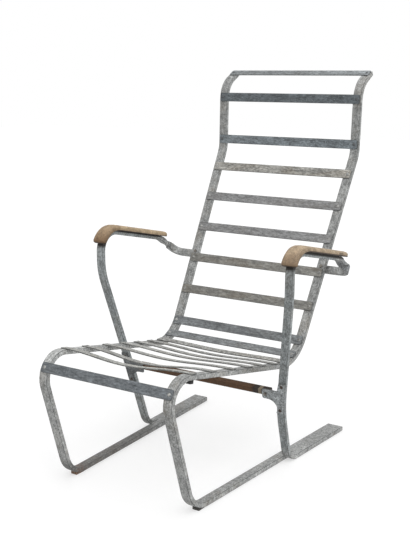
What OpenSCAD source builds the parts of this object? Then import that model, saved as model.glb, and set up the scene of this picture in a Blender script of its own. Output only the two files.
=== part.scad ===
// Open lounge chair of flat metal bar, slit along its length so that each side is one bent piece.
// Lengths are in millimetres. X runs across the chair, Y from front to back and Z up.
// The origin is on the floor, under the middle of the chair's box.

/* [Bar] */
// Thickness of the bent bar
bar_t = 12.5; // [10:0.5:15]
// Width of the inner half of the slit bar
strip_w = 25.5; // [22:0.5:28]
// Width of the outer half of the slit bar, which is the post and the arm
post_w = 22; // [20:0.5:26]
// Width of the slit between the halves
slit_w = 1; // [0.5:0.5:3]

/* [Floor runner and leg] */
// Length of the bar on the floor, from the front foot's corner to the tail's end
runner_len = 716; // [660:1:760]
// Height of the seat's front corner over the bar's underside
seat_front_h = 378; // [355:1:400]
// How far the leg leans forward
leg_lean = 114; // [96:1:130]
// Radius of the bend at the front foot
foot_r = 79; // [66:1:90]

/* [Seat and back] */
// Level distance from the seat's front corner to the corner of seat and back
seat_run = 616; // [590:1:640]
// How far the seat falls towards the back
seat_fall = 117; // [98:1:136]
// Level distance that the straight back leans
back_run = 316; // [290:1:340]
// Height of the straight back
back_rise = 562; // [545:1:600]
// Level distance that the neck leans
neck_run = 9; // [0:1:20]
// Height of the neck
neck_rise = 197; // [190:1:220]
// Level distance of the curl at the top
curl_run = 73; // [66:1:82]
// Height of the curl at the top
curl_rise = 40; // [32:1:48]
// Radius of the bend at the seat's front
seat_front_r = 67; // [55:1:75]
// Radius of the bend between seat and back
seat_back_r = 106; // [92:1:114]
// Radius of the bend under the neck
neck_r = 78; // [68:1:100]
// Radius of the bend of the curl
curl_r = 78; // [70:1:86]

/* [Half widths to the middle of the inner strip] */
// At the tail's end
tail_x = 233; // [222:1:240]
// At the front foot
foot_x = 196; // [190:1:204]
// At the seat's front
seat_front_x = 193; // [187:1:202]
// At the corner of seat and back
seat_back_x = 209; // [203:1:216]
// At the neck
neck_x = 229; // [220:1:236]
// At the top
top_x = 230.5; // [222:0.5:238]

/* [Arm] */
// Distance from the front foot's corner back to the post's foot
post_y = 411.5; // [402:0.5:430]
// Distance from the post's foot back to where the slit ends
slit_past = 50; // [45:1:70]
// Height of the post's slow bend
knee_h = 164; // [156:1:180]
// How far the post leans forward up to its slow bend
knee_lean = 54; // [46:0.5:62]
// How far the post splays out up to its slow bend
knee_splay = 6.5; // [3:0.5:16]
// Height of the arm's front corner over the bar's underside
arm_h = 625; // [610:1:650]
// Height of the post's shoulder, above which it stands upright
shoulder_h = 497; // [486:1:503]
// How far the post leans forward from its slow bend up to its shoulder
post_lean = 71; // [60:0.5:80]
// How far the post splays out from its slow bend up to its shoulder
post_splay = 58; // [50:0.5:68]
// Level distance from the arm's lap forward to the bend at the arm's back
arm_back_in = 73; // [66:0.5:84]
// Height of the bend at the arm's back over the middle of the lap
arm_back_up = 57; // [48:0.5:64]
// How far the arm draws in from its front corner to the bend at its back
arm_draw = 1; // [0:0.5:8]
// Half width to the corner where the arm turns in towards the back
arm_corner_x = 293; // [288:1:302]
// Room between the sixth back slat's rivet and the arm's lap above it
lap_room = 1; // [0.5:0.5:3]
// Room between the sixth back slat and the head of the lap's bolt
lap_bolt_room = 2; // [1:0.5:4]
// How far the lap's end stands in from the middle of the back's strip
lap_end_in = 2; // [0:0.5:8]
// Radius of the bend at the post's foot
post_foot_r = 55; // [40:1:60]
// Radius of the post's slow bend
knee_r = 620; // [400:10:900]
// Radius of the post's bend at its shoulder
shoulder_r = 260; // [200:10:300]
// Radius of the bend at the arm's front
arm_front_r = 55; // [50:1:62]
// Radius of the bend at the arm's back
arm_back_r = 60; // [50:1:75]
// Radius of the turn into the lap
lap_r = 22; // [20:1:28]

/* [Slats] */
// Width of a slat
slat_w = 27; // [23:0.5:28]
// Thickness of a slat
slat_t = 3; // [2:0.5:4]
// How far a slat's end stands in from the strip's outer edge
slat_inset = 3; // [1:0.5:6]
// Radius of a slat's corners
slat_corner_r = 5; // [3:0.5:8]
// Pitch of the back slats from the third to the eighth
back_pitch = 103; // [99:0.5:106]
// Distance from the third back slat up to the second
second_up = 92.5; // [86:0.5:94]
// Distance from the second back slat up to the first
first_up = 131; // [126:0.5:134]
// Distance from the ninth back slat up to the eighth
ninth_gap = 52; // [48:0.5:56]
// Distance from the middle of the seat and back bend up to the ninth back slat
ninth_up = 1; // [0:0.5:8]
// Distance from the seat's front bend to the first seat slat
seat_first = 15.5; // [13:0.5:22]
// Distance from the first seat slat to the last
seat_slat_run = 445; // [425:1:452]
// Sag of the seat slats in the middle
seat_sag = 9; // [2:0.5:14]
// Distance from the start of the seat's front bend up to the front slat
front_slat_up = 56; // [50:0.5:62]
// Distance of the top bar's middle from the curl's end
top_bar_in = 13.5; // [13.5:0.5:15]

/* [Armrest] */
// Width of the wooden armrest
rest_w = 44; // [38:1:46]
// Thickness of the wooden armrest
rest_t = 15; // [11:0.5:17]
// Half width to the middle of the armrest
rest_x = 306; // [303:0.5:310]
// Distance from the start of the arm's front bend up to the armrest's lower end
rest_up = 23; // [14:1:32]
// Distance that the armrest reaches back past the corner at the arm's back
rest_past = 9; // [4:0.5:18]
// Radius of the armrest's corners in plan
rest_corner_r = 6; // [4:0.5:12]

/* [Stretcher and brackets] */
// Thickness of a bracket
bracket_t = 3; // [2:0.5:4]
// Height of the seat rail's face over the stretcher's bolt
stretcher_drop = 78; // [74:1:90]
// Distance from the stretcher's bolt up to the upper end of the bracket
bracket_up = 39; // [26:0.5:44]
// Distance from the stretcher's bolt down to the lower end of the bracket
bracket_down = 53.5; // [48:0.5:60]
// Half width to the inner end of the bracket's ear
ear_x = 200; // [194:1:206]
// Height of the bracket's ear
ear_h = 29; // [26:0.5:31]
// Radius of the hollow under the ear
gusset_r = 27; // [12:1:29]
// Radius of the small bracket corners
bracket_corner_r = 5; // [3:0.5:7]
// Height of the wooden stretcher
stretcher_h = 15; // [13:0.5:20]
// How far the stretcher's middle stands over its bolt
stretcher_lift = 2; // [0:0.5:3]
// Depth of the wooden stretcher
stretcher_d = 20; // [16:0.5:24]
// Half length of the wooden stretcher
stretcher_x = 220; // [214:1:228]

/* [Feet and buffer] */
// Thickness of the pads and glides on the floor
pad_t = 2; // [1.5:0.5:4]
// Length of the pad under the post's foot
pad_len = 44; // [36:1:56]
// Distance from the post's foot back to the pad's front end
pad_back = 44; // [40:1:52]
// How far the pad stands in from the bar's edges
pad_inset = 4; // [2:0.5:6]
// Distance from the front foot's corner back to the glide's front end
glide_y = 26; // [24:1:32]
// Length of the glide under the front foot
glide_len = 30; // [28:1:44]
// Width of the glide under the front foot
glide_w = 20; // [16:1:22]
// Length of the buffer under the seat's front
buffer_len = 14; // [13:1:18]
// How far the buffer's middle stands ahead of its rivet
buffer_ahead = 2.5; // [0:0.5:3]
// Width of the buffer under the seat's front
buffer_w = 14; // [11:1:20]
// Height of the buffer under the seat's front
buffer_h = 10.5; // [8:0.5:12]

/* [Fasteners] */
// Diameter of a rivet
rivet_d = 5; // [4:0.5:6]
// Diameter of a rivet's head
rivet_head_d = 9.5; // [8:0.5:10]
// Height of a rivet's head
rivet_head_h = 2; // [1:0.5:2.5]
// Diameter of a bolt
bolt_d = 5; // [4:0.5:6]
// Width of a bolt's head and nut across the corners
nut_d = 9.5; // [8:0.5:10]
// Height of a bolt's head and nut
nut_h = 4; // [3:0.5:5]
// Diameter of an armrest screw
screw_d = 4; // [3:0.5:5]
// Length of an armrest screw in the wood
screw_grip = 9; // [6:0.5:9]
// Diameter of an armrest screw's head
screw_head_d = 8; // [7:0.5:9]
// Clearance round a fastener in its hole
hole_gap = 0.1; // [0.05:0.05:0.2]
// Clearance between pieces that lie close without touching
seat_gap = 0.3; // [0.2:0.1:0.5]

/* [Hidden] */
$fn = 32;
BEND_STEPS = 10;
TWIST_STEPS = 9;
SAG_STEPS = 16;
CORNER_STEPS = 6;
overrun = 1;
X_AXIS = [1, 0, 0];

// Places of the seat slats as shares of the distance from the first to the last
seat_slat_shares = [0, 0.195, 0.397, 0.58, 0.73, 0.88, 1];
// Sag of each seat slat as a share of the common sag
sag_shares = [1.35, 1.65, 0.9, 0.8, 0.85, 0.75, 0.45];
// Armrest screws as shares of the armrest's length behind the bend
screw_shares = [0.1, 0.42, 0.74];
// Half outline of the armrest's section as shares of its width and thickness
rest_width_shares = [-0.5, -0.5, -0.44, -0.3, -0.12, 0.12, 0.3, 0.44, 0.5, 0.5];
rest_height_shares = [0, 0.56, 0.8, 0.95, 1, 1, 0.95, 0.8, 0.56, 0];
// Steps of the armrest's rounded ends as shares of the corner radius
end_shares = [0, 0.08, 0.3, 0.62, 1];
// Thickness that the armrest keeps at its very end
rest_end_share = 0.72;
// Height of a rivet's head on the bar's back, as a share of its head in front
back_head_share = 0.6;
// Height of a bolt's head as a share of its nut
bolt_head_share = 0.7;
// Distance of the bracket's rivets from its ends, as a share of the outer strip's width
edge_share = 0.4;

// Vectors and bent routes. A station is a point with the route's direction there.
function unit(v) = v / norm(v);
function tail_of(list) = list[len(list) - 1];
function blend(a, b, share) = a * (1 - share) + b * share;

function bend(before, corner, after, r) =
    let (
        u = unit(corner - before),
        w = unit(after - corner),
        turn = acos(u * w),
        start = corner - u * (r * tan(turn / 2)),
        inward = unit(w - u * (u * w))
    )
    [for (i = [0 : BEND_STEPS])
        let (a = turn * i / BEND_STEPS)
        [start + u * (r * sin(a)) + inward * (r * (1 - cos(a))), u * cos(a) + inward * sin(a)]];

function between(a, b, steps) =
    [for (i = [1 : 1 : steps - 1]) [blend(a[0], b[0], i / steps), a[1]]];

// The first and last points are ends and the rest are bends. Steps divide each straight stretch.
function route(points, radii, steps) =
    let (
        n = len(points),
        first = [[points[0], unit(points[1] - points[0])]],
        last = [[points[n - 1], unit(points[n - 1] - points[n - 2])]],
        bends = [for (i = [1 : n - 2]) bend(points[i - 1], points[i], points[i + 1], radii[i - 1])],
        runs = concat([first], bends, [last])
    )
    [for (i = [0 : n - 1])
        each concat(runs[i], i < n - 1 ? between(tail_of(runs[i]), runs[i + 1][0], steps[i]) : [])];

function lengths(stations) =
    [for (i = 0, s = 0; i < len(stations);
        s = s + (i < len(stations) - 1 ? norm(stations[i + 1][0] - stations[i][0]) : 0), i = i + 1) s];

// The station at a distance along a route
function along(stations, at, s) =
    [for (part = [0, 1])
        [for (axis = [0 : 2]) lookup(s, [for (i = [0 : len(stations) - 1]) [at[i], stations[i][part][axis]]])]];

// Side profile of the inner strip's underside and front face, from the tail to the top
tail_end = [tail_x, runner_len, 0];
foot = [foot_x, 0, 0];
seat_front = [seat_front_x, -leg_lean, seat_front_h];
seat_back = seat_front + [seat_back_x - seat_front_x, seat_run, -seat_fall];
neck = seat_back + [neck_x - seat_back_x, back_run, back_rise];
curl = neck + [top_x - neck_x, neck_run, neck_rise];
top_end = curl + [0, curl_run, curl_rise];
slit_end = post_y + slit_past;
slit_point = blend(foot, tail_end, slit_end / runner_len);
// The strips start inside the tail, this far behind the slit's end
strip_root = blend(foot, tail_end, (slit_end + strip_w) / runner_len);
no_steps = [for (i = [0 : 9]) 1];

inner = route(
    [strip_root, foot, seat_front, seat_back, neck, curl, top_end],
    [foot_r, seat_front_r, seat_back_r, neck_r, curl_r],
    no_steps
);
inner_at = lengths(inner);
inner_len = tail_of(inner_at);
// Distances along the inner strip at the ends of its bends, in the order of the route
function bend_start(i) = inner_at[1 + i * (BEND_STEPS + 1)];
function bend_end(i) = inner_at[(i + 1) * (BEND_STEPS + 1)];

// Places of the slats along the inner strip
ninth_s = (bend_start(2) + bend_end(2)) / 2 + ninth_up;
eighth_s = ninth_s + ninth_gap;
third_s = eighth_s + back_pitch * 5;
second_s = third_s + second_up;
first_s = second_s + first_up;
back_places = concat([first_s, second_s, third_s], [for (i = [4 : -1 : 1]) eighth_s + back_pitch * i], [eighth_s, ninth_s]);
seat_places = [for (share = seat_slat_shares) bend_end(1) + seat_first + seat_slat_run * share];
front_place = bend_start(1) + front_slat_up;
top_place = inner_len - top_bar_in;
lap_place = back_places[5] + (rivet_head_d + post_w) / 2 + lap_room;
lap_bolt_place = back_places[5] + (slat_w + nut_d) / 2 + lap_bolt_room;

// Frame of the face at a place: Z points away from the bar and Y along the strip
function slope(station) = atan2(station[1].z, station[1].y);
function outward(station) = [0, -sin(slope(station)), cos(slope(station))];

function strip_at(s) = along(inner, inner_at, s);
// A flat piece on a bend stands on the highest places under it, this far off the middle
function stand_off(s, half) =
    let (
        middle = strip_at(s),
        up = outward(middle),
        under = [for (i = [0 : len(inner) - 1]) if (abs(inner_at[i] - s) < half) inner[i][0]],
        edges = [for (side = [-1, 1]) strip_at(s + side * half)[0]]
    )
    max([for (p = concat([middle[0]], edges, under)) (p - middle[0]) * up]);

module on_inner(s, half = 0) {
    station = strip_at(s);
    translate([0, station[0].y, station[0].z])
        rotate([slope(station), 0, 0])
            translate([0, 0, stand_off(s, half)])
                children();
}

// Outer strip from the slit's end over the post and the arm to its lap behind the back
pitch_x = (strip_w + post_w) / 2 + slit_w;
outer_root = strip_root + [pitch_x, 0, 0];
post_foot = blend(foot, tail_end, post_y / runner_len) + [pitch_x, 0, 0];
knee = post_foot + [knee_splay, -knee_lean, knee_h];
shoulder = [knee.x + post_splay, knee.y - post_lean, shoulder_h];
arm_front = [shoulder.x, shoulder.y, arm_h];
lap_station = strip_at(lap_place);
lap_offset = outward(lap_station) * -(bar_t + seat_gap);
lap_line = [0, lap_station[0].y, lap_station[0].z] + lap_offset;
arm_back = lap_line + [arm_front.x - arm_draw, -arm_back_in, arm_back_up];
arm_corner = lap_line + [arm_corner_x, 0, 0];
lap_end = lap_line + [lap_station[0].x - lap_end_in, 0, 0];
back_line = lap_station[1] - X_AXIS * lap_station[1].x;

outer = route(
    [outer_root, post_foot, knee, shoulder, arm_front, arm_back, arm_corner, lap_end],
    [post_foot_r, knee_r, shoulder_r, arm_front_r, arm_back_r, lap_r],
    [1, 1, 1, 1, 1, TWIST_STEPS, 1]
);
outer_at = lengths(outer);
front_bend = [3 * (BEND_STEPS + 1) + 1, 4 * (BEND_STEPS + 1)];
arm_start = outer_at[front_bend[1]];
twist_start = outer_at[5 * (BEND_STEPS + 1)];
twist_end = outer_at[5 * (BEND_STEPS + 1) + TWIST_STEPS];
function outer_station(s) = along(outer, outer_at, s);

// The armrest follows the outer strip's front bend and arm, and is straight in plan
rest_route = [for (i = [front_bend[0] : front_bend[1]])
    [[rest_x, outer[i][0].y, outer[i][0].z], unit([0, outer[i][1].y, outer[i][1].z])]];
rest_at = lengths(rest_route);
rest_len = (arm_back - tail_of(rest_route)[0]) * tail_of(rest_route)[1] + rest_past;
rest_stop = tail_of(rest_at) + rest_len;

module on_outer(s) {
    station = outer_station(s);
    translate([0, station[0].y, station[0].z])
        rotate([slope(station), 0, 0])
            children();
}

// Width direction of the outer strip: across the chair, then turned up along the back
function turned(s) = 0.5 - 0.5 * cos(180 * min(1, max(0, (s - twist_start) / (twist_end - twist_start))));
function outer_width(i) =
    let (share = turned(outer_at[i]), d = outer[i][1], w = blend(X_AXIS, unit(back_line), share))
    share == 0 ? X_AXIS : unit(w - d * (w * d));

// A bar swept along stations, with its outer face on the route and its thickness inward
function ring(station, width, w) =
    let (inward = unit(cross(station[1], width)) * bar_t, half = width * (w / 2), p = station[0])
    [p - half, p + half, p + half + inward, p - half + inward];

function tube_faces(sides, rings) =
    concat(
        [[for (i = [0 : sides - 1]) i]],
        [for (j = [0 : rings - 2], i = [0 : sides - 1])
            let (a = j * sides + i, b = j * sides + (i + 1) % sides)
            each [[a, a + sides, b], [b, a + sides, b + sides]]],
        [[for (i = [sides - 1 : -1 : 0]) (rings - 1) * sides + i]]
    );

module swept(rings) {
    polyhedron([for (r = rings) each r], tube_faces(len(rings[0]), len(rings)), convexity = 8);
}

module inner_strip() {
    swept([for (station = inner) ring(station, X_AXIS, strip_w)]);
}

module outer_strip() {
    swept([for (i = [0 : len(outer) - 1]) ring(outer[i], outer_width(i), post_w)]);
}

// The bar's whole width behind the slit's end
module tail() {
    inner_edge = [strip_w / 2, 0, 0];
    outer_edge = inner_edge + [slit_w + post_w, 0, 0];
    corners = [slit_point - inner_edge, slit_point + outer_edge, tail_end + outer_edge, tail_end - inner_edge];
    linear_extrude(bar_t)
        polygon([for (c = corners) [c.x, c.y]]);
}

module hole(d, depth) {
    translate([0, 0, -depth])
        cylinder(d = d + hole_gap * 2, h = depth + overrun);
}

// Countersunk head of an armrest screw, its wide side down
module screw_head(gap = 0) {
    cylinder(d1 = screw_head_d + gap * 4, d2 = screw_d + gap * 2, h = screw_d / 2 + gap);
}

inner_fixings = concat([top_place], back_places, seat_places, [front_place]);
// How high each place of the post is over the line of the seat rail's face
function over_rail(p) = p.z - blend(seat_front, seat_back, (p.y - seat_front.y) / seat_run).z;
bracket_place = lookup(-stretcher_drop, [for (i = [1 : front_bend[0]]) [over_rail(outer[i][0]), outer_at[i]]]);
bracket_rivets_at = [bracket_place + bracket_up - post_w * edge_share, bracket_place - bracket_down + post_w * edge_share];
screw_places = [for (share = screw_shares) arm_start + rest_len * share];

module side_frame() {
    color("darkgray")
        difference() {
            union() {
                tail();
                inner_strip();
                outer_strip();
            }
            for (s = inner_fixings)
                on_inner(s)
                    translate([strip_at(s)[0].x, 0, 0])
                        hole(rivet_d, bar_t + overrun);
            on_inner(lap_bolt_place)
                translate([lap_station[0].x, 0, 0])
                    hole(bolt_d, bar_t * 2 + seat_gap + overrun);
            for (s = bracket_rivets_at)
                on_outer(s)
                    translate([outer_station(s)[0].x, 0, 0])
                        hole(rivet_d, bar_t + overrun);
            for (s = screw_places)
                on_outer(s)
                    translate([outer_station(s)[0].x, 0, 0]) {
                        hole(screw_d, bar_t + overrun);
                        translate([0, 0, -bar_t - hole_gap])
                            screw_head(hole_gap);
                    }
        }
}

// The part is moved so that its box is centred and it stands on its pads
front_most = min([for (station = inner) station[0].y]);
back_most = top_end.y + sin(slope(tail_of(inner))) * bar_t;
origin = [0, -(front_most + back_most) / 2, pad_t];

module in_place() {
    translate(origin)
        children();
}

module left() {
    mirror(X_AXIS)
        children();
}

module frame_right() {
    in_place()
        side_frame();
}

module frame_left() {
    in_place()
        left()
            side_frame();
}

// Flat slat with round corners, its ends set in from the strips' outer edges
module slat_outline(half, r) {
    hull()
        for (x = [-half + r, half - r], y = [-slat_w / 2 + r, slat_w / 2 - r])
            translate([x, y])
                circle(r);
}

function slat_half(s) = strip_at(s)[0].x + strip_w / 2 - slat_inset;

module rivet_holes(s, depth) {
    for (side = [-1, 1])
        translate([side * strip_at(s)[0].x, 0, depth])
            hole(rivet_d, depth + overrun);
}

module flat_slat(s, t = slat_t) {
    on_inner(s, slat_w / 2)
        difference() {
            linear_extrude(t)
                slat_outline(slat_half(s), slat_corner_r);
            rivet_holes(s, t);
        }
}

// Side view of a seat slat: flat on the rails and hanging in between
function sag_at(s, sag) =
    let (inner_edge = strip_at(s)[0].x - strip_w / 2)
    [for (i = [0 : SAG_STEPS])
        let (share = i / SAG_STEPS)
        [inner_edge * (2 * share - 1), -sag * (0.5 - 0.5 * cos(360 * share))]];

module sagging_slat(s, sag) {
    curve = sag_at(s, sag);
    end = [slat_half(s), 0];
    lower = concat([-end], curve, [end]);
    upper = [for (i = [len(lower) - 1 : -1 : 0]) lower[i] + [0, slat_t]];
    on_inner(s, slat_w / 2)
        difference() {
            intersection() {
                translate([0, slat_w / 2, 0])
                    rotate([90, 0, 0])
                        linear_extrude(slat_w)
                            polygon(concat(lower, upper));
                translate([0, 0, -sag - overrun])
                    linear_extrude(sag + slat_t + overrun * 2)
                        slat_outline(slat_half(s), slat_corner_r);
            }
            rivet_holes(s, slat_t);
        }
}

module back_slat(i) {
    color("gray")
        in_place()
            flat_slat(back_places[i]);
}

module seat_slat(i) {
    color("silver")
        in_place()
            sagging_slat(seat_places[i], seat_sag * sag_shares[i]);
}

module front_slat() {
    color("dimgray")
        in_place()
            flat_slat(front_place);
}

module top_bar() {
    color("slategray")
        in_place()
            flat_slat(top_place);
}

// Rivet through a piece on the strip and through the strip, with a domed head on each side
function dome(d, h, at, up) =
    let (r = (d * d / 4 + h * h) / (2 * h), rim = asin(d / 2 / r))
    [for (i = [0 : CORNER_STEPS])
        let (a = rim * i / CORNER_STEPS)
        [r * sin(a), at + up * (r * cos(a) - r + h)]];

function reversed(list) = [for (i = [len(list) - 1 : -1 : 0]) list[i]];

module rivet(above, below) {
    front = dome(rivet_head_d, rivet_head_h, above, 1);
    back = dome(rivet_head_d, rivet_head_h * back_head_share, -below, -1);
    rotate_extrude()
        polygon(concat(front, [[rivet_d / 2, above], [rivet_d / 2, -below]], reversed(back)));
}

// The head on the bar's back keeps clear of a bend's hollow side
module rivet_pair(s, below = bar_t + seat_gap, sides = [-1, 1]) {
    lift = stand_off(s, slat_w / 2);
    in_place()
        on_inner(s)
            for (side = sides)
                translate([side * strip_at(s)[0].x, 0, 0])
                    rivet(slat_t + lift, below);
}

module upper_back_rivets() {
    color("lightgray")
        for (s = concat([top_place], [for (i = [0 : 3]) back_places[i]]))
            rivet_pair(s);
}

module lower_back_rivets() {
    color("lightgray")
        for (i = [4 : 8])
            rivet_pair(back_places[i]);
}

module seat_rivets() {
    color("lightgray") {
        rivet_pair(seat_places[0], bar_t + buffer_h + seat_gap, [1]);
        rivet_pair(seat_places[0], sides = [-1]);
        for (i = [1 : len(seat_places) - 1])
            rivet_pair(seat_places[i]);
    }
}

module front_rivets() {
    color("lightgray")
        rivet_pair(front_place);
}

// Wooden armrest
function rest_station(s) =
    s < tail_of(rest_at) ? along(rest_route, rest_at, s)
    : [tail_of(rest_route)[0] + tail_of(rest_route)[1] * (s - tail_of(rest_at)), tail_of(rest_route)[1]];

// Corner rounding: how much of the corner radius is cut from each side at a distance from the end
function corner_cut(from_end) =
    let (share = min(1, max(0, from_end / rest_corner_r)))
    1 - sqrt(1 - (1 - share) * (1 - share));

function rest_ring(s) =
    let (
        station = rest_station(s),
        up = outward(station),
        cut = corner_cut(min(s - rest_up, rest_stop - s)),
        w = rest_w - rest_corner_r * 2 * cut,
        t = rest_t * blend(1, rest_end_share, cut)
    )
    [for (i = [0 : len(rest_width_shares) - 1])
        station[0] + X_AXIS * (w * rest_width_shares[i]) + up * (seat_gap + t * rest_height_shares[i])];

rest_stops = concat(
    [for (share = end_shares) rest_up + rest_corner_r * share],
    [for (s = rest_at) if (s > rest_up + rest_corner_r) s],
    [for (i = [len(end_shares) - 1 : -1 : 0]) rest_stop - rest_corner_r * end_shares[i]]
);

module armrest() {
    color("tan")
        difference() {
            swept([for (s = rest_stops) rest_ring(s)]);
            for (s = screw_places)
                on_outer(s)
                    translate([outer_station(s)[0].x, 0, 0])
                        rotate([180, 0, 0])
                            hole(screw_d, screw_grip + hole_gap);
        }
}

module armrest_right() {
    in_place()
        armrest();
}

module armrest_left() {
    in_place()
        left()
            armrest();
}

// Screw from under the arm, its point in the wood
module arm_screw() {
    translate([0, 0, -bar_t])
        cylinder(d = screw_d, h = bar_t + screw_grip);
    translate([0, 0, -bar_t])
        screw_head();
}

module armrest_screws() {
    color("dimgray")
        in_place()
            for (side = [0, 1], s = screw_places)
                mirror([side, 0, 0])
                    on_outer(s)
                        translate([outer_station(s)[0].x, 0, 0])
                            arm_screw();
}

// Flat bracket on the post's front face with an ear for the stretcher. The post is bowed, so the
// bracket touches it in the middle, and its rivets bridge the small gaps at its ends.
bracket_station = outer_station(bracket_place);
function bracket_top(s) =
    let (station = outer_station(s), up = outward(bracket_station), way = bracket_station[0] - station[0])
    ((way - X_AXIS * way.x) * up + bracket_t + hole_gap) / (outward(station) * up);

function post_edge(v, side) = outer_station(bracket_place + v)[0].x + side * post_w / 2;

function corner_arc(centre, r, from, to) =
    [for (i = [0 : CORNER_STEPS])
        let (a = blend(from, to, i / CORNER_STEPS))
        centre + [cos(a), sin(a)] * r];

module bracket_outline() {
    low = -bracket_down;
    high = bracket_up;
    ear_low = -ear_h / 2;
    ear_high = ear_h / 2;
    r = bracket_corner_r;
    polygon(concat(
        [[post_edge(low, 1), low], [post_edge(high, 1), high]],
        corner_arc([post_edge(high, -1) + r, high - r], r, 90, 180),
        corner_arc([post_edge(ear_high, -1) - r, ear_high + r], r, 0, -90),
        corner_arc([ear_x + r, ear_high - r], r, 90, 180),
        corner_arc([ear_x + r, ear_low + r], r, 180, 270),
        corner_arc([post_edge(ear_low, -1) - gusset_r, ear_low - gusset_r], gusset_r, 90, 0),
        [[post_edge(low, -1), low]]
    ));
}

ear_bolt_x = (ear_x + stretcher_x) / 2;

module bracket() {
    color("slategray")
        difference() {
            on_outer(bracket_place)
                translate([0, 0, hole_gap])
                    linear_extrude(bracket_t)
                        bracket_outline();
            for (s = bracket_rivets_at)
                on_outer(s)
                    translate([outer_station(s)[0].x, 0, bracket_top(s)])
                        hole(rivet_d, bracket_t + overrun);
            on_outer(bracket_place)
                translate([ear_bolt_x, 0, bracket_t + hole_gap])
                    hole(bolt_d, bracket_t + overrun);
        }
}

module bracket_right() {
    in_place()
        bracket();
}

module bracket_left() {
    in_place()
        left()
            bracket();
}

module bracket_rivets() {
    color("lightgray")
        in_place()
            for (side = [0, 1], s = bracket_rivets_at)
                mirror([side, 0, 0])
                    on_outer(s)
                        translate([outer_station(s)[0].x, 0, 0])
                            rivet(bracket_top(s) + seat_gap / 2, bar_t + seat_gap);
}

module stretcher() {
    color("saddlebrown")
        in_place()
            on_outer(bracket_place)
                difference() {
                    translate([-stretcher_x, stretcher_lift - stretcher_h / 2, -stretcher_d])
                        cube([stretcher_x * 2, stretcher_h, stretcher_d]);
                    for (side = [-1, 1])
                        translate([side * ear_bolt_x, 0, 0])
                            hole(bolt_d, stretcher_d + overrun);
                }
}

// Bolt with a hexagonal head at its upper end, and the nut for it
module bolt(above, below) {
    translate([0, 0, -below - nut_h - overrun])
        cylinder(d = bolt_d, h = above + below + nut_h + overrun);
    translate([0, 0, above])
        cylinder(d = nut_d, h = nut_h * bolt_head_share, $fn = 6);
}

module nut(below) {
    translate([0, 0, -below - nut_h])
        difference() {
            cylinder(d = nut_d, h = nut_h, $fn = 6);
            translate([0, 0, nut_h])
                hole(bolt_d, nut_h + overrun);
        }
}

module stretcher_bolts() {
    color("gray")
        in_place()
            on_outer(bracket_place)
                for (side = [-1, 1])
                    translate([side * ear_bolt_x, 0, 0])
                        bolt(bracket_t + hole_gap, stretcher_d);
}

module stretcher_nuts() {
    color("gray")
        in_place()
            on_outer(bracket_place)
                for (side = [-1, 1])
                    translate([side * ear_bolt_x, 0, 0])
                        nut(stretcher_d);
}

module arm_bolts() {
    color("gray")
        in_place()
            on_inner(lap_bolt_place)
                for (side = [-1, 1])
                    translate([side * lap_station[0].x, 0, 0])
                        bolt(0, bar_t * 2 + seat_gap);
}

module arm_nuts() {
    color("gray")
        in_place()
            on_inner(lap_bolt_place)
                for (side = [-1, 1])
                    translate([side * lap_station[0].x, 0, 0])
                        nut(bar_t * 2 + seat_gap);
}

// Rubber buffer under the front of the right seat rail, held by the first seat slat's rivet
module rail_buffer() {
    color("black")
        in_place()
            on_inner(seat_places[0])
                translate([strip_at(seat_places[0])[0].x, 0, -bar_t - buffer_h])
                    difference() {
                        translate([-buffer_w / 2, -buffer_len / 2 - buffer_ahead, 0])
                            cube([buffer_w, buffer_len, buffer_h]);
                        translate([0, 0, buffer_h])
                            hole(rivet_d, buffer_h + overrun);
                    }
}

// Pads across the whole bar under the posts
function floor_x(y) = blend(foot, tail_end, y / runner_len).x;

module post_pad() {
    front = post_y + pad_back;
    back = front + pad_len;
    low = pad_inset - strip_w / 2;
    high = strip_w / 2 + slit_w + post_w - pad_inset;
    translate([0, 0, -pad_t])
        linear_extrude(pad_t)
            polygon([
                [floor_x(front) + low, front],
                [floor_x(front) + high, front],
                [floor_x(back) + high, back],
                [floor_x(back) + low, back]
            ]);
}

// Glide under the front foot: flat below, and above it follows the start of the bend
module front_glide() {
    back = glide_y + glide_len;
    under = [for (station = inner) if (station[0].z < foot_r / 2 && station[0].y > glide_y && station[0].y < back)
        [station[0].y, station[0].z]];
    front_s = lookup(-glide_y, [for (i = [0 : BEND_STEPS + 1]) [-inner[i][0].y, inner_at[i]]]);
    front_z = strip_at(front_s)[0].z;
    translate([floor_x(glide_y + glide_len / 2) + glide_w / 2, 0, 0])
        rotate([90, 0, -90])
            linear_extrude(glide_w)
                polygon([for (p = concat([[glide_y, -pad_t], [back, -pad_t], [back, 0]], under, [[glide_y, front_z]]))
                    [-p.x, p.y]]);
}

module post_pads() {
    color("dimgray")
        in_place()
            for (side = [0, 1])
                mirror([side, 0, 0])
                    post_pad();
}

module front_glides() {
    color("sienna")
        in_place()
            for (side = [0, 1])
                mirror([side, 0, 0])
                    front_glide();
}

frame_right();
frame_left();
armrest_right();
armrest_left();
armrest_screws();
top_bar();
for (i = [1 : 9]) back_slat(i - 1);
for (i = [1 : 7]) seat_slat(i - 1);
front_slat();
upper_back_rivets();
lower_back_rivets();
seat_rivets();
front_rivets();
bracket_right();
bracket_left();
bracket_rivets();
stretcher();
stretcher_bolts();
stretcher_nuts();
arm_bolts();
arm_nuts();
rail_buffer();
post_pads();
front_glides();
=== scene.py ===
import math

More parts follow.
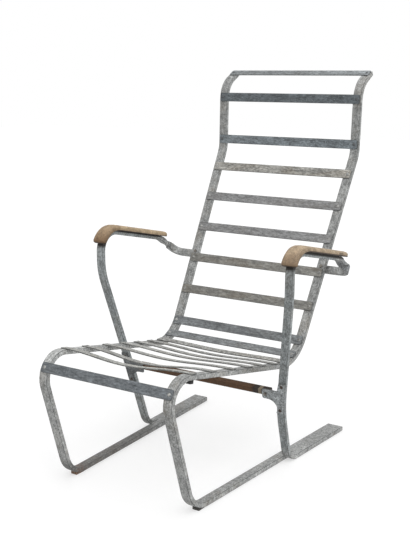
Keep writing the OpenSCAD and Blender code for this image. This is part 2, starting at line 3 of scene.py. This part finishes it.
import bpy
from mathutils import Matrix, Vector


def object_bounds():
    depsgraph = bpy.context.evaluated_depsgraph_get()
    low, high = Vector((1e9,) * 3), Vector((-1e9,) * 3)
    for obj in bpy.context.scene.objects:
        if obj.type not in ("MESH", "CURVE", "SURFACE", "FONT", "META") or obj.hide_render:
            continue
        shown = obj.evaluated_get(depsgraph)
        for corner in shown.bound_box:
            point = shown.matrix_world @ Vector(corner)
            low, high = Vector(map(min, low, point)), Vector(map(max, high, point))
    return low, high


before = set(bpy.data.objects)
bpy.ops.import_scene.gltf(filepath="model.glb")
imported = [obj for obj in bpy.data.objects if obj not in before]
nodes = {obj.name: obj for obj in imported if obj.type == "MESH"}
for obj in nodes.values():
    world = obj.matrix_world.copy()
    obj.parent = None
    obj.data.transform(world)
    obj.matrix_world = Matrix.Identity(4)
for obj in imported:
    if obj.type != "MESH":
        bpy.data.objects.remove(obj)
cad_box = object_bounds()
scene = bpy.context.scene

# The camera, solved from the photograph in the frame of the CAD source, in metres and degrees
CAMERA_AT = (1.4376, -1.8128, 1.0641)
CAMERA_DOWN = 12.272
CAMERA_TURN = 33.385
FOCAL_PX = 965.8
IMAGE_H = 560
SENSOR_MM = 36.0
NEAREST = 0.05
FARTHEST = 60

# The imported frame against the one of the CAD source, in metres: its origin is further back, its floor lower
ORIGIN_BACK = 0.41066
FLOOR_DOWN = 0.002

# The arms' upper faces lie on the line z = ARM_LEVEL - ARM_SLOPE * y
ARM_SLOPE = 0.21852
ARM_LEVEL = 0.59987

# Spans in metres, over which a mask rises from 0 to 1 or falls from 1 to 0
OUTER_HALF_X = (0.226, 0.230)
ARM_X = (0.280, 0.286)
LOOP_X = (0.292, 0.304)
LOOP_Y = (0.15, 0.18)
POST_BACK_Y = (0.10, 0.14)
POST_FOOT_Z = (0.02, 0.05)
RUNNER_Z = (0.03, 0.06)
RUNNER_AHEAD_Y = (-0.06, 0.02)
RAIL_Z = (0.32, 0.35)
ARM_FRONT_Y = (-0.110, -0.105)
ARM_FRONT_Z = (0.568, 0.576)
FOOT_FRONT_Y = (-0.402, -0.385)
FOOT_BACK_Y = (-0.368, -0.335)
FOOT_Z = (0.012, 0.024)
WOOD_BEND_Y = (-0.070, -0.050)
DARK_SLATS_Z = (0.80, 0.83)
BLACK_END_X = (0.166, 0.172)
WORN_FROM_X = (0.186, 0.188)
WORN_TO_X = (0.196, 0.198)
RIGHT_SIDE_X = (-0.01, 0.01)

# Heights of the painted shade bands at the arms, from their upper faces' line: painted shadow on the bar
# below the wood, and painted shade at the wood's lower edge
SHADOW_BAND_RIGHT = (-0.0085, -0.0050)
SHADOW_BAND_LEFT = (-0.0050, -0.0025)
WOOD_SHADE_BAND_RIGHT = (0.0030, 0.0050)
WOOD_SHADE_BAND_LEFT = (0.0015, 0.0035)

# Noise scales of the marks on the metal and on the wood, in waves per metre, from coarse to fine
METAL_PATCHES = 6
METAL_STAINS = 15
METAL_MOTTLE = 85
METAL_PITS = 170
METAL_DOTS = 230
METAL_SPECKLE = 260
METAL_GRAIN = 900
WOOD_PATCHES = 24
WOOD_BLOTCHES = 70
WOOD_SPECKS = 330

# The range of values that a noise mostly takes, and those over which each kind of mark comes in
NOISE_SPAN = (0.36, 0.64)
STAIN_SPAN = (0.50, 0.70)
DOT_SPAN = (0.64, 0.70)
PIT_SPAN = (0.30, 0.39)
CRACK_SPAN = (0.31, 0.36)
FIBRE_SPAN = (0.50, 0.68)
LOW_TONE_SPAN = (0.46, 0.70)
DUST_SPAN = (0.42, 0.70)
RUST_SPAN = (0.40, 0.56)
FLECK_SPAN = (0.50, 0.68)
RAGGED_LOOP_SPAN = (0.35, 0.55)
RAGGED_FOOT_SPAN = (0.35, 0.60)

GREY = (0.30, 0.305, 0.30)
BLUE_GREY = (0.27, 0.29, 0.30)
WARM_GREY = (0.31, 0.305, 0.285)
DARK_BLUE = (0.115, 0.13, 0.14)
DARK_RIVET = (0.10, 0.105, 0.11)
# Painted shadow on the bar under the arm wood and below its front end
PAINTED_SHADOW = (0.018, 0.013, 0.009)
RUST = (0.16, 0.075, 0.035)
# Painted shade on the arms' lower edges and on their faces that look down; the cracks take a darker tone of
# it
WOOD_SHADE = (0.05, 0.033, 0.022)
BLACK_WOOD = (0.02, 0.015, 0.012)
WORN_WOOD = (0.34, 0.28, 0.20)
POST_TINT = (0.78, 0.83, 0.86)
LOOP_TINT = (0.50, 0.52, 0.56)
RUNNER_TINT = (0.82, 0.82, 0.82)
RUNNER_AHEAD_TINT = (0.66, 0.64, 0.63)

# How a pattern's scale is stretched along x, y and z
EVEN = (1, 1, 1)
ALONG_SLAT = (0.35, 1, 1)
ALONG_BAR = (1.15, 0.8, 0.75)
ALONG_ARM = (110, 14, 14)
ALONG_STRETCHER = (5, 220, 220)

FRAMES = ["frame_right", "frame_left"]
ARMRESTS = ["armrest_right", "armrest_left"]
BRACKETS = ["bracket_right", "bracket_left"]
BACK_SLATS = ["back_slat_%d" % i for i in range(1, 10)]
SEAT_SLATS = ["seat_slat_%d" % i for i in range(1, 8)]
SLATS = ["top_bar", "front_slat"] + BACK_SLATS + SEAT_SLATS
SMALL_RIVETS = ["upper_back_rivets", "lower_back_rivets", "seat_rivets", "front_rivets"]
STEEL_PIECES = ["armrest_screws", "stretcher_bolts", "stretcher_nuts", "arm_bolts", "arm_nuts"]


# Camera at the photograph's viewing angle
def make_camera():
    data = bpy.data.cameras.new("camera")
    data.sensor_fit = "AUTO"
    data.sensor_width = SENSOR_MM
    data.lens = FOCAL_PX / IMAGE_H * SENSOR_MM
    data.clip_start = NEAREST
    data.clip_end = FARTHEST
    camera = bpy.data.objects.new("camera", data)
    x, y, z = CAMERA_AT
    camera.location = (x, y - ORIGIN_BACK, z + FLOOR_DOWN)
    camera.rotation_euler = (math.radians(90 - CAMERA_DOWN), 0, math.radians(CAMERA_TURN))
    scene.collection.objects.link(camera)
    scene.camera = camera


# The node tree of a material or of the world
class Tree:
    def __init__(self, owner):
        owner.use_nodes = True
        self.tree = owner.node_tree
        self.tree.nodes.clear()

    def node(self, kind, **values):
        n = self.tree.nodes.new(kind)
        for key, value in values.items():
            setattr(n, key, value)
        return n

    def link(self, a, b):
        self.tree.links.new(a, b)

    def put(self, socket, value):
        if hasattr(value, "links"):
            self.link(value, socket)
        else:
            socket.default_value = value

    def math(self, kind, a, b=0.0, clamp=False):
        n = self.node("ShaderNodeMath", operation=kind, use_clamp=clamp)
        self.put(n.inputs[0], a)
        self.put(n.inputs[1], b)
        return n.outputs[0]

    def times(self, first, *others):
        for other in others:
            first = self.math("MULTIPLY", first, other)
        return first

    # 1 for rays from the camera and for those off gloss or through glass, which see the white background
    def seen(self):
        path = self.node("ShaderNodeLightPath").outputs
        bounced = self.math("MAXIMUM", path["Is Glossy Ray"], path["Is Transmission Ray"])
        return self.math("MAXIMUM", path["Is Camera Ray"], bounced)


# A material of one shader, with its patterns laid out in metres
class Finish(Tree):
    def __init__(self, name):
        self.mat = bpy.data.materials.new(name)
        super().__init__(self.mat)
        self.shader = self.node("ShaderNodeBsdfPrincipled")
        out = self.node("ShaderNodeOutputMaterial")
        self.link(self.shader.outputs["BSDF"], out.inputs["Surface"])
        self.place = self.node("ShaderNodeTexCoord").outputs["Object"]

    def stretched(self, scale, shift=(0, 0, 0)):
        n = self.node("ShaderNodeMapping")
        n.inputs["Scale"].default_value = scale
        n.inputs["Location"].default_value = shift
        self.link(self.place, n.inputs["Vector"])
        return n.outputs["Vector"]

    def noise(self, scale, detail, rough, place=None, warp=0.0):
        n = self.node("ShaderNodeTexNoise")
        n.inputs["Scale"].default_value = scale
        n.inputs["Detail"].default_value = detail
        n.inputs["Roughness"].default_value = rough
        n.inputs["Distortion"].default_value = warp
        self.link(place or self.place, n.inputs["Vector"])
        return n.outputs["Fac"]

    def ramp(self, value, low, high, at_low=0.0, at_high=1.0):
        n = self.node("ShaderNodeMapRange", clamp=True)
        self.put(n.inputs["Value"], value)
        n.inputs["From Min"].default_value = low
        n.inputs["From Max"].default_value = high
        n.inputs["To Min"].default_value = at_low
        n.inputs["To Max"].default_value = at_high
        return n.outputs["Result"]

    def axis_of(self, vector, axis):
        n = self.node("ShaderNodeSeparateXYZ")
        self.link(vector, n.inputs[0])
        return n.outputs[axis]

    def along(self, axis):
        return self.axis_of(self.place, axis)

    def facing(self, axis):
        return self.axis_of(self.node("ShaderNodeNewGeometry").outputs["Normal"], axis)

    def from_middle(self):
        return self.math("ABSOLUTE", self.along("X"))

    def rises(self, value, span):
        return self.ramp(value, *span)

    def falls(self, value, span):
        return self.ramp(value, *span, 1.0, 0.0)

    def scaled(self, color, share):
        n = self.node("ShaderNodeVectorMath", operation="SCALE")
        self.link(color, n.inputs[0])
        self.link(share, n.inputs["Scale"])
        return n.outputs["Vector"]

    def varied(self, color, noise, darkest, lightest):
        return self.scaled(color, self.ramp(noise, *NOISE_SPAN, darkest, lightest))

    def mix(self, share, a, b, kind="MIX"):
        n = self.node("ShaderNodeMix", data_type="RGBA", blend_type=kind)
        self.put(n.inputs["Factor"], share)
        for socket, value in ((n.inputs[6], a), (n.inputs[7], b)):
            self.put(socket, value if hasattr(value, "links") else (*value, 1.0))
        return n.outputs[2]

    def tinted(self, share, color, tint):
        return self.mix(share, color, tint, "MULTIPLY")

    def bump(self, height, strength, distance, below=None):
        n = self.node("ShaderNodeBump")
        n.inputs["Strength"].default_value = strength
        n.inputs["Distance"].default_value = distance
        self.link(height, n.inputs["Height"])
        if below:
            self.link(below, n.inputs["Normal"])
        return n.outputs["Normal"]

    def show(self, color, roughness, normal):
        self.link(color, self.shader.inputs["Base Color"])
        self.put(self.shader.inputs["Roughness"], roughness)
        self.link(normal, self.shader.inputs["Normal"])


def tone(color, k):
    return tuple(c * k for c in color)


# Height over the straight line of the arms' upper faces
def over_arm(t):
    drop = t.math("MULTIPLY", t.along("Y"), ARM_SLOPE)
    return t.math("SUBTRACT", t.math("ADD", t.along("Z"), drop), ARM_LEVEL)


# Weathered aluminium, where uneven is how much its tone varies, specks and stain are the shares of pale dots
# and brownish stains, shift moves the pattern, grain stretches it, and wear paints wear, painted highlights
# and painted shade over the colour
def weathered(name, color, uneven, specks, stain, shift=0.0, metallic=0.55, grain=EVEN, wear_and_shade=None):
    t = Finish(name)
    place = t.stretched(grain, (shift, shift * 0.7, -shift))
    dot_place = t.stretched(EVEN, (shift, 2, 1))
    pit_place = t.stretched(EVEN, (2, shift, 3))
    patches = t.noise(METAL_PATCHES, detail=4, rough=0.6, place=place, warp=0.5)
    stains = t.noise(METAL_STAINS, detail=5, rough=0.7, place=place, warp=1.0)
    mottle = t.noise(METAL_MOTTLE, detail=5, rough=0.7, place=place, warp=0.3)
    speckle = t.noise(METAL_SPECKLE, detail=3, rough=0.65, place=place)
    fine_grain = t.noise(METAL_GRAIN, detail=2, rough=0.6, place=place)
    dots = t.noise(METAL_DOTS, detail=2, rough=0.5, place=dot_place)
    between_pits = t.rises(t.noise(METAL_PITS, detail=3, rough=0.55, place=pit_place), PIT_SPAN)

    base = t.mix(t.rises(patches, NOISE_SPAN), tone(color, 1 - uneven * 0.5), tone(color, 1 + uneven * 0.5))
    base = t.varied(base, mottle, 1 - uneven * 1.25, 1 + uneven * 1.25)
    base = t.varied(base, speckle, 1 - uneven * 1.3, 1 + uneven * 1.3)
    brown = (color[0] * 0.95, color[1] * 0.76, color[2] * 0.54)
    base = t.mix(t.times(t.rises(stains, STAIN_SPAN), stain), base, brown)
    pale = tuple(min(0.85, c * 1.8 + 0.05) for c in color)
    base = t.mix(t.times(t.rises(dots, DOT_SPAN), specks), base, pale)
    base = t.mix(t.times(t.math("SUBTRACT", 1.0, between_pits), 0.6), base, tone(color, 0.3))
    if wear_and_shade:
        base = wear_and_shade(t, base)

    t.shader.inputs["Metallic"].default_value = metallic
    soft = t.bump(mottle, strength=0.25, distance=0.0008)
    fine = t.bump(speckle, strength=0.3, distance=0.0004, below=soft)
    pitted = t.bump(t.math("ADD", between_pits, fine_grain), strength=0.3, distance=0.0003, below=fine)
    t.show(base, t.ramp(mottle, 0.3, 0.7, 0.48, 0.68), pitted)
    return t.mat


# Painted highlight on the side faces of the bars, which are made paler; the posts are bluish, and the loop
# behind the right arm is dark
def bar_tones(t, base):
    base = t.scaled(base, t.ramp(t.math("ABSOLUTE", t.facing("X")), 0.4, 0.8, 0.96, 1.12))
    loop = t.times(t.rises(t.along("X"), LOOP_X), t.rises(t.along("Y"), LOOP_Y))
    ragged = t.rises(t.noise(40, detail=4, rough=0.6), RAGGED_LOOP_SPAN)
    base = t.tinted(t.times(loop, ragged), base, LOOP_TINT)
    outer = t.times(t.rises(t.from_middle(), OUTER_HALF_X), t.rises(t.along("Z"), POST_FOOT_Z))
    post = t.times(outer, t.falls(t.along("Y"), POST_BACK_Y))
    return t.tinted(t.times(post, 0.9), base, POST_TINT)


# Painted shadow of the arm wood: the bar is darkened along the underside of the wood and below its front end
def painted_wood_shadow(t, base, band):
    arm = t.rises(t.from_middle(), ARM_X)
    base = t.mix(t.times(arm, t.rises(over_arm(t), band), 0.95), base, PAINTED_SHADOW)
    front = t.times(t.falls(t.along("Y"), ARM_FRONT_Y), t.rises(t.along("Z"), ARM_FRONT_Z))
    return t.mix(t.times(arm, front, 0.95), base, PAINTED_SHADOW)


def right_bar(t, base):
    return painted_wood_shadow(t, bar_tones(t, base), SHADOW_BAND_RIGHT)


# The left bar has a paler post and rail, and a darker runner, most of all ahead of the post
def left_bar(t, base):
    ahead = t.falls(t.along("Y"), POST_BACK_Y)
    raised = t.times(ahead, t.rises(t.along("Z"), RUNNER_Z))
    base = t.scaled(base, t.ramp(raised, 0.0, 1.0, 1.0, 1.12))
    inner = t.falls(t.from_middle(), OUTER_HALF_X)
    rail = t.times(inner, ahead, t.rises(t.along("Z"), RAIL_Z))
    base = t.scaled(base, t.ramp(rail, 0.0, 1.0, 1.0, 1.35))
    base = painted_wood_shadow(t, bar_tones(t, base), SHADOW_BAND_LEFT)
    low = t.falls(t.along("Z"), RUNNER_Z)
    base = t.tinted(t.times(low, t.falls(t.along("Y"), RUNNER_AHEAD_Y)), base, RUNNER_AHEAD_TINT)
    return rusty_foot(t, t.tinted(low, base, RUNNER_TINT))


# Rust round the glide of the left front foot
def rusty_foot(t, base):
    near = t.times(t.falls(t.along("Y"), FOOT_BACK_Y), t.rises(t.along("Y"), FOOT_FRONT_Y))
    ragged = t.rises(t.noise(120, detail=4, rough=0.6), RAGGED_FOOT_SPAN)
    share = t.times(near, t.falls(t.along("Z"), FOOT_Z), ragged, 0.75)
    return t.mix(share, base, RUST)


# Painted light on the seat slats: their tops are painted brighter and their narrow edges darker
def painted_lit_top(t, base):
    return t.scaled(base, t.ramp(t.facing("Z"), 0.2, 0.8, 0.62, 1.14))


# Rivets on the two dark slats are as dark as the slats
def dark_high(t, base):
    return t.mix(t.rises(t.along("Z"), DARK_SLATS_Z), base, DARK_RIVET)


# The right end of the stretcher is black, with a pale worn patch beside the bracket
def worn_end(t, base):
    x = t.along("X")
    base = t.mix(t.times(t.rises(x, BLACK_END_X), 0.9), base, BLACK_WOOD)
    patch = t.math("SUBTRACT", t.rises(x, WORN_FROM_X), t.rises(x, WORN_TO_X), clamp=True)
    return t.mix(t.times(patch, 0.7), base, WORN_WOOD)


# Wood with grain along its length, with painted shade on the faces that look down; fade is the height over
# which an arm's front end bleaches, and edge the height of the painted shade band at the arm's lower edge
def wood(name, top, low, under, grain_scale, fade=None, edge=None, wear_and_shade=None):
    t = Finish(name)
    place = t.stretched(grain_scale)
    crack_place = t.stretched((grain_scale[0] * 1.3, grain_scale[1] * 0.6, grain_scale[2] * 0.6), (3, 1, 2))
    grain = t.noise(1.0, detail=6, rough=0.65, place=place, warp=0.4)
    fibre = t.noise(3.2, detail=4, rough=0.7, place=place, warp=0.2)
    patches = t.noise(WOOD_PATCHES, detail=4, rough=0.6, warp=0.5)
    blotches = t.noise(WOOD_BLOTCHES, detail=5, rough=0.7, warp=0.8)
    specks = t.noise(WOOD_SPECKS, detail=3, rough=0.65)
    between_cracks = t.rises(t.noise(2.1, detail=2, rough=0.5, place=crack_place), CRACK_SPAN)
    lines = t.rises(grain, NOISE_SPAN)

    color = t.mix(lines, tone(top, 0.88), tone(top, 1.08))
    color = t.varied(color, blotches, 0.72, 1.22)
    color = t.mix(t.times(t.rises(fibre, FIBRE_SPAN), 0.22), color, tone(top, 0.62))
    color = t.mix(t.times(t.rises(patches, LOW_TONE_SPAN), 0.45), color, low)
    color = t.varied(color, specks, 0.74, 1.24)
    if fade:
        low_color = t.varied(t.mix(lines, tone(low, 0.78), tone(low, 1.12)), blotches, 0.72, 1.25)
        ragged = t.math("ADD", t.along("Z"), t.times(t.math("SUBTRACT", patches, 0.5), 0.03))
        behind = t.rises(t.along("Y"), WOOD_BEND_Y)
        color = t.mix(t.math("MAXIMUM", t.rises(ragged, fade), behind), low_color, color)
        # Painted shade: a dark band along the arm's lower edge behind the bend
        color = t.mix(t.times(behind, t.falls(over_arm(t), edge)), color, under)
    # Painted shade on the faces that look down
    color = t.mix(t.ramp(t.facing("Z"), -0.25, -0.75), color, under)
    color = t.mix(t.times(t.math("SUBTRACT", 1.0, between_cracks), 0.6), color, tone(under, 0.6))
    if wear_and_shade:
        color = wear_and_shade(t, color)

    raised = t.bump(grain, strength=0.45, distance=0.0012)
    cracked = t.bump(between_cracks, strength=0.5, distance=0.0010, below=raised)
    t.show(color, t.math("ADD", t.times(grain, 0.2), 0.62), cracked)
    return t.mat


def rubber(name, color):
    t = Finish(name)
    dust = t.rises(t.noise(90, detail=5, rough=0.65), DUST_SPAN)
    pores = t.bump(t.noise(700, detail=2, rough=0.5), strength=0.2, distance=0.0002)
    t.show(t.mix(dust, color, tone(color, 2.2)), 0.75, pores)
    return t.mat


# Rusty steel glides, of which the right one is dark
def rusty_glide(name, color, metal_color):
    t = Finish(name)
    patches = t.noise(110, detail=6, rough=0.7, warp=0.8)
    flecks = t.rises(t.noise(420, detail=3, rough=0.6), FLECK_SPAN)
    share = t.rises(patches, RUST_SPAN)
    base = t.mix(share, metal_color, color)
    base = t.mix(t.times(flecks, 0.6), base, tone(color, 0.45))
    base = t.mix(t.rises(t.along("X"), RIGHT_SIDE_X), base, tone(metal_color, 0.25))
    t.link(t.math("SUBTRACT", 0.6, t.times(share, 0.6), clamp=True), t.shader.inputs["Metallic"])
    flaking = t.bump(patches, strength=0.5, distance=0.0006)
    t.show(base, t.math("ADD", t.times(share, 0.3), 0.5), flaking)
    return t.mat


# Side frames and the pads under them
bar = weathered("weathered_bar", tone(GREY, 1.05), uneven=0.30, specks=0.3, stain=0.25,
                grain=ALONG_BAR, wear_and_shade=right_bar)
bar_left = weathered("weathered_bar_left", tone(GREY, 0.98), uneven=0.30, specks=0.3, stain=0.3, shift=0.37,
                     grain=ALONG_BAR, wear_and_shade=left_bar)
pads = weathered("weathered_pads", tone(GREY, 0.7), uneven=0.26, specks=0.3, stain=0.3, shift=0.9)
# Painted shade along the bevelled edges
edge_shade = weathered("painted_edge_shade", (0.10, 0.105, 0.105), uneven=0.3, specks=0.2, stain=0.2, shift=9.1)

# Slats, from the top down and then the front of the seat
top_metal = weathered("weathered_top", tone(BLUE_GREY, 0.8), uneven=0.28, specks=0.3, stain=0.2, shift=0.5,
                      grain=ALONG_SLAT)
dark_1 = weathered("weathered_dark_1", DARK_BLUE, uneven=0.26, specks=0.8, stain=0.12, shift=1.1,
                   grain=ALONG_SLAT)
dark_2 = weathered("weathered_dark_2", tone(DARK_BLUE, 1.42), uneven=0.32, specks=1.0, stain=0.12, shift=1.9,
                   grain=ALONG_SLAT)
warm = weathered("weathered_warm", tone(WARM_GREY, 0.84), uneven=0.34, specks=0.4, stain=0.35, shift=2.3,
                 grain=ALONG_SLAT)
mid = weathered("weathered_mid", (0.215, 0.217, 0.218), uneven=0.24, specks=0.3, stain=0.2, shift=3.1,
                grain=ALONG_SLAT)
mid_warm = weathered("weathered_mid_warm", (0.207, 0.203, 0.188), uneven=0.24, specks=0.3, stain=0.4,
                     shift=3.7, grain=ALONG_SLAT)
cool = weathered("weathered_cool", (0.175, 0.185, 0.19), uneven=0.26, specks=0.3, stain=0.2, shift=4.2,
                 grain=ALONG_SLAT)
pale_slat = weathered("weathered_pale_slat", (0.205, 0.215, 0.22), uneven=0.26, specks=0.3, stain=0.2,
                      shift=4.4, grain=ALONG_SLAT)
front_metal = weathered("weathered_front", (0.130, 0.142, 0.152), uneven=0.26, specks=0.35, stain=0.12,
                        shift=5.3, grain=ALONG_SLAT)
seat_metal = weathered("weathered_seat", (0.30, 0.30, 0.287), uneven=0.34, specks=0.4, stain=0.3, shift=6.1,
                       wear_and_shade=painted_lit_top)
seat_pale = weathered("weathered_seat_pale", (0.31, 0.312, 0.295), uneven=0.34, specks=0.4, stain=0.3,
                      shift=6.9, wear_and_shade=painted_lit_top)

# Brackets and fasteners
plate = weathered("weathered_plate", (0.30, 0.317, 0.322), uneven=0.36, specks=0.4, stain=0.3, shift=4.7)
dark_plate = weathered("weathered_dark_plate", (0.125, 0.132, 0.135), uneven=0.36, specks=0.5, stain=0.3,
                       shift=4.9)
rivets = weathered("rivet", (0.27, 0.27, 0.26), uneven=0.34, specks=0.3, stain=0.2, shift=7.5,
                   wear_and_shade=dark_high)
old_rivets = weathered("rusty_rivet", (0.055, 0.038, 0.030), uneven=0.4, specks=0.2, stain=0.6, shift=8.7,
                       metallic=0.3)
steel = weathered("steel_fastener", (0.20, 0.185, 0.165), uneven=0.3, specks=0.2, stain=0.6, shift=8.2,
                  metallic=0.8)

# Wood, rubber and glides
# The third colour of each wood is its painted shade on the faces that look down
arm_wood = wood("bleached_wood", (0.455, 0.352, 0.24), (0.215, 0.135, 0.075), WOOD_SHADE, ALONG_ARM,
                fade=(0.575, 0.632), edge=WOOD_SHADE_BAND_RIGHT)
arm_wood_left = wood("bleached_wood_left", (0.47, 0.355, 0.225), (0.17, 0.098, 0.048), WOOD_SHADE,
                     ALONG_ARM, fade=(0.588, 0.646), edge=WOOD_SHADE_BAND_LEFT)
stretcher_wood = wood("dark_wood", (0.105, 0.050, 0.020), (0.067, 0.034, 0.016), (0.06, 0.035, 0.02),
                      ALONG_STRETCHER, wear_and_shade=worn_end)
black = rubber("rubber", (0.018, 0.018, 0.018))
glide = rusty_glide("rusty_glide", (0.22, 0.12, 0.065), (0.25, 0.24, 0.22))

finish = {
    "frame_right": bar, "frame_left": bar_left, "bracket_right": plate, "bracket_left": dark_plate,
    "armrest_right": arm_wood, "armrest_left": arm_wood_left, "stretcher": stretcher_wood,
    "top_bar": top_metal, "front_slat": front_metal, "bracket_rivets": old_rivets,
    "rail_buffer": black, "post_pads": pads, "front_glides": glide,
}
finish.update(zip(BACK_SLATS, [dark_1, dark_2, warm, mid, mid, mid_warm, mid_warm, cool, pale_slat]))
finish.update(zip(SEAT_SLATS, [seat_pale] + [seat_metal] * 6))
finish.update({name: rivets for name in SMALL_RIVETS})
finish.update({name: steel for name in STEEL_PIECES})

# Bevel widths in metres, and the nodes whose bevels take a painted shade, darker than their faces
edge_width = {name: 0.0007 for name in BRACKETS + SLATS}
edge_width.update({name: 0.0008 for name in FRAMES + ["stretcher", "rail_buffer", "front_glides"]})
edge_width.update({name: 0.0015 for name in ARMRESTS})
edge_width["post_pads"] = 0.0006
shade_edged = FRAMES + BRACKETS + SLATS

WELD = 0.000005
BEVEL_ANGLE = 35
SMOOTH_ANGLE = 32


# Smooth shading across shallow angles, with the imported corner normals dropped
def smooth_group():
    g = bpy.data.node_groups.new("smooth_by_angle", "GeometryNodeTree")
    g.interface.new_socket("Geometry", in_out="INPUT", socket_type="NodeSocketGeometry")
    g.interface.new_socket("Geometry", in_out="OUTPUT", socket_type="NodeSocketGeometry")
    start = g.nodes.new("NodeGroupInput")
    end = g.nodes.new("NodeGroupOutput")
    drop = g.nodes.new("GeometryNodeRemoveAttribute")
    drop.inputs["Name"].default_value = "custom_normal"
    faces = g.nodes.new("GeometryNodeSetShadeSmooth")
    faces.domain = "FACE"
    edges = g.nodes.new("GeometryNodeSetShadeSmooth")
    edges.domain = "EDGE"
    edges.inputs["Shade Smooth"].default_value = False
    turn = g.nodes.new("GeometryNodeInputMeshEdgeAngle")
    steep = g.nodes.new("FunctionNodeCompare")
    steep.data_type = "FLOAT"
    steep.operation = "GREATER_THAN"
    steep.inputs[1].default_value = math.radians(SMOOTH_ANGLE)
    g.links.new(start.outputs[0], drop.inputs["Geometry"])
    g.links.new(drop.outputs["Geometry"], faces.inputs["Geometry"])
    g.links.new(faces.outputs["Geometry"], edges.inputs["Geometry"])
    g.links.new(turn.outputs["Unsigned Angle"], steep.inputs[0])
    g.links.new(steep.outputs["Result"], edges.inputs["Selection"])
    g.links.new(edges.outputs["Geometry"], end.inputs[0])
    return g


def dress(name, obj, smoothing):
    obj.data.materials.clear()
    obj.data.materials.append(finish[name])
    weld = obj.modifiers.new("weld", "WELD")
    weld.merge_threshold = WELD
    if name in edge_width:
        bevel = obj.modifiers.new("bevel", "BEVEL")
        bevel.width = edge_width[name]
        bevel.segments = 3
        bevel.limit_method = "ANGLE"
        bevel.angle_limit = math.radians(BEVEL_ANGLE)
        bevel.use_clamp_overlap = False
        bevel.loop_slide = False
        # The bevels of these take the painted edge shade
        if name in shade_edged:
            obj.data.materials.append(edge_shade)
            bevel.material = 1
    smooth = obj.modifiers.new("smooth", "NODES")
    smooth.node_group = smoothing


FLOOR_HALF = 12.0
FLOOR_GAP = 0.0002
FLOOR_GREY = (0.50, 0.50, 0.50, 1)
FLOOR_GLOW = 0.53
WORLD_LIGHT = 0.55
WHITE = (1, 1, 1, 1)


# Pale floor that keeps the object's shadow
def make_floor():
    mesh = bpy.data.meshes.new("floor")
    corners = [(x * FLOOR_HALF, y * FLOOR_HALF, 0) for x, y in ((-1, -1), (1, -1), (1, 1), (-1, 1))]
    mesh.from_pydata(corners, [], [(0, 1, 2, 3)])
    floor = bpy.data.objects.new("floor", mesh)
    floor.location = (0, 0, cad_box[0][2] - FLOOR_GAP)
    scene.collection.objects.link(floor)
    mat = bpy.data.materials.new("floor")
    t = Tree(mat)
    diffuse = t.node("ShaderNodeBsdfDiffuse")
    diffuse.inputs["Color"].default_value = FLOOR_GREY
    glow = t.node("ShaderNodeEmission")
    glow.inputs["Color"].default_value = WHITE
    t.link(t.times(t.seen(), FLOOR_GLOW), glow.inputs["Strength"])
    both = t.node("ShaderNodeAddShader")
    t.link(diffuse.outputs[0], both.inputs[0])
    t.link(glow.outputs[0], both.inputs[1])
    t.link(both.outputs[0], t.node("ShaderNodeOutputMaterial").inputs["Surface"])
    mesh.materials.append(mat)


# White to the eye, and a dimmer light on the object
def make_world():
    world = bpy.data.worlds.new("world")
    scene.world = world
    t = Tree(world)
    pick = t.node("ShaderNodeMixShader")
    t.link(t.seen(), pick.inputs[0])
    for socket, strength in ((pick.inputs[1], WORLD_LIGHT), (pick.inputs[2], 1.0)):
        light = t.node("ShaderNodeBackground")
        light.inputs["Color"].default_value = WHITE
        light.inputs["Strength"].default_value = strength
        t.link(light.outputs[0], socket)
    t.link(pick.outputs[0], t.node("ShaderNodeOutputWorld").inputs["Surface"])


def sun(name, toward, power, softness):
    data = bpy.data.lights.new(name, "SUN")
    data.energy = power
    data.angle = math.radians(softness)
    obj = bpy.data.objects.new(name, data)
    obj.rotation_euler = (-Vector(toward)).to_track_quat("-Z", "Y").to_euler()
    scene.collection.objects.link(obj)


make_camera()
smoothing = smooth_group()
for name, obj in nodes.items():
    dress(name, obj, smoothing)
make_floor()
make_world()
sun("key", toward=(1.0, -0.5, 1.1), power=1.3, softness=50)
sun("fill", toward=(-1.0, -0.8, 0.9), power=0.4, softness=60)
sun("top", toward=(0.1, 0.3, 1.0), power=0.6, softness=60)

scene.view_settings.view_transform = "Standard"
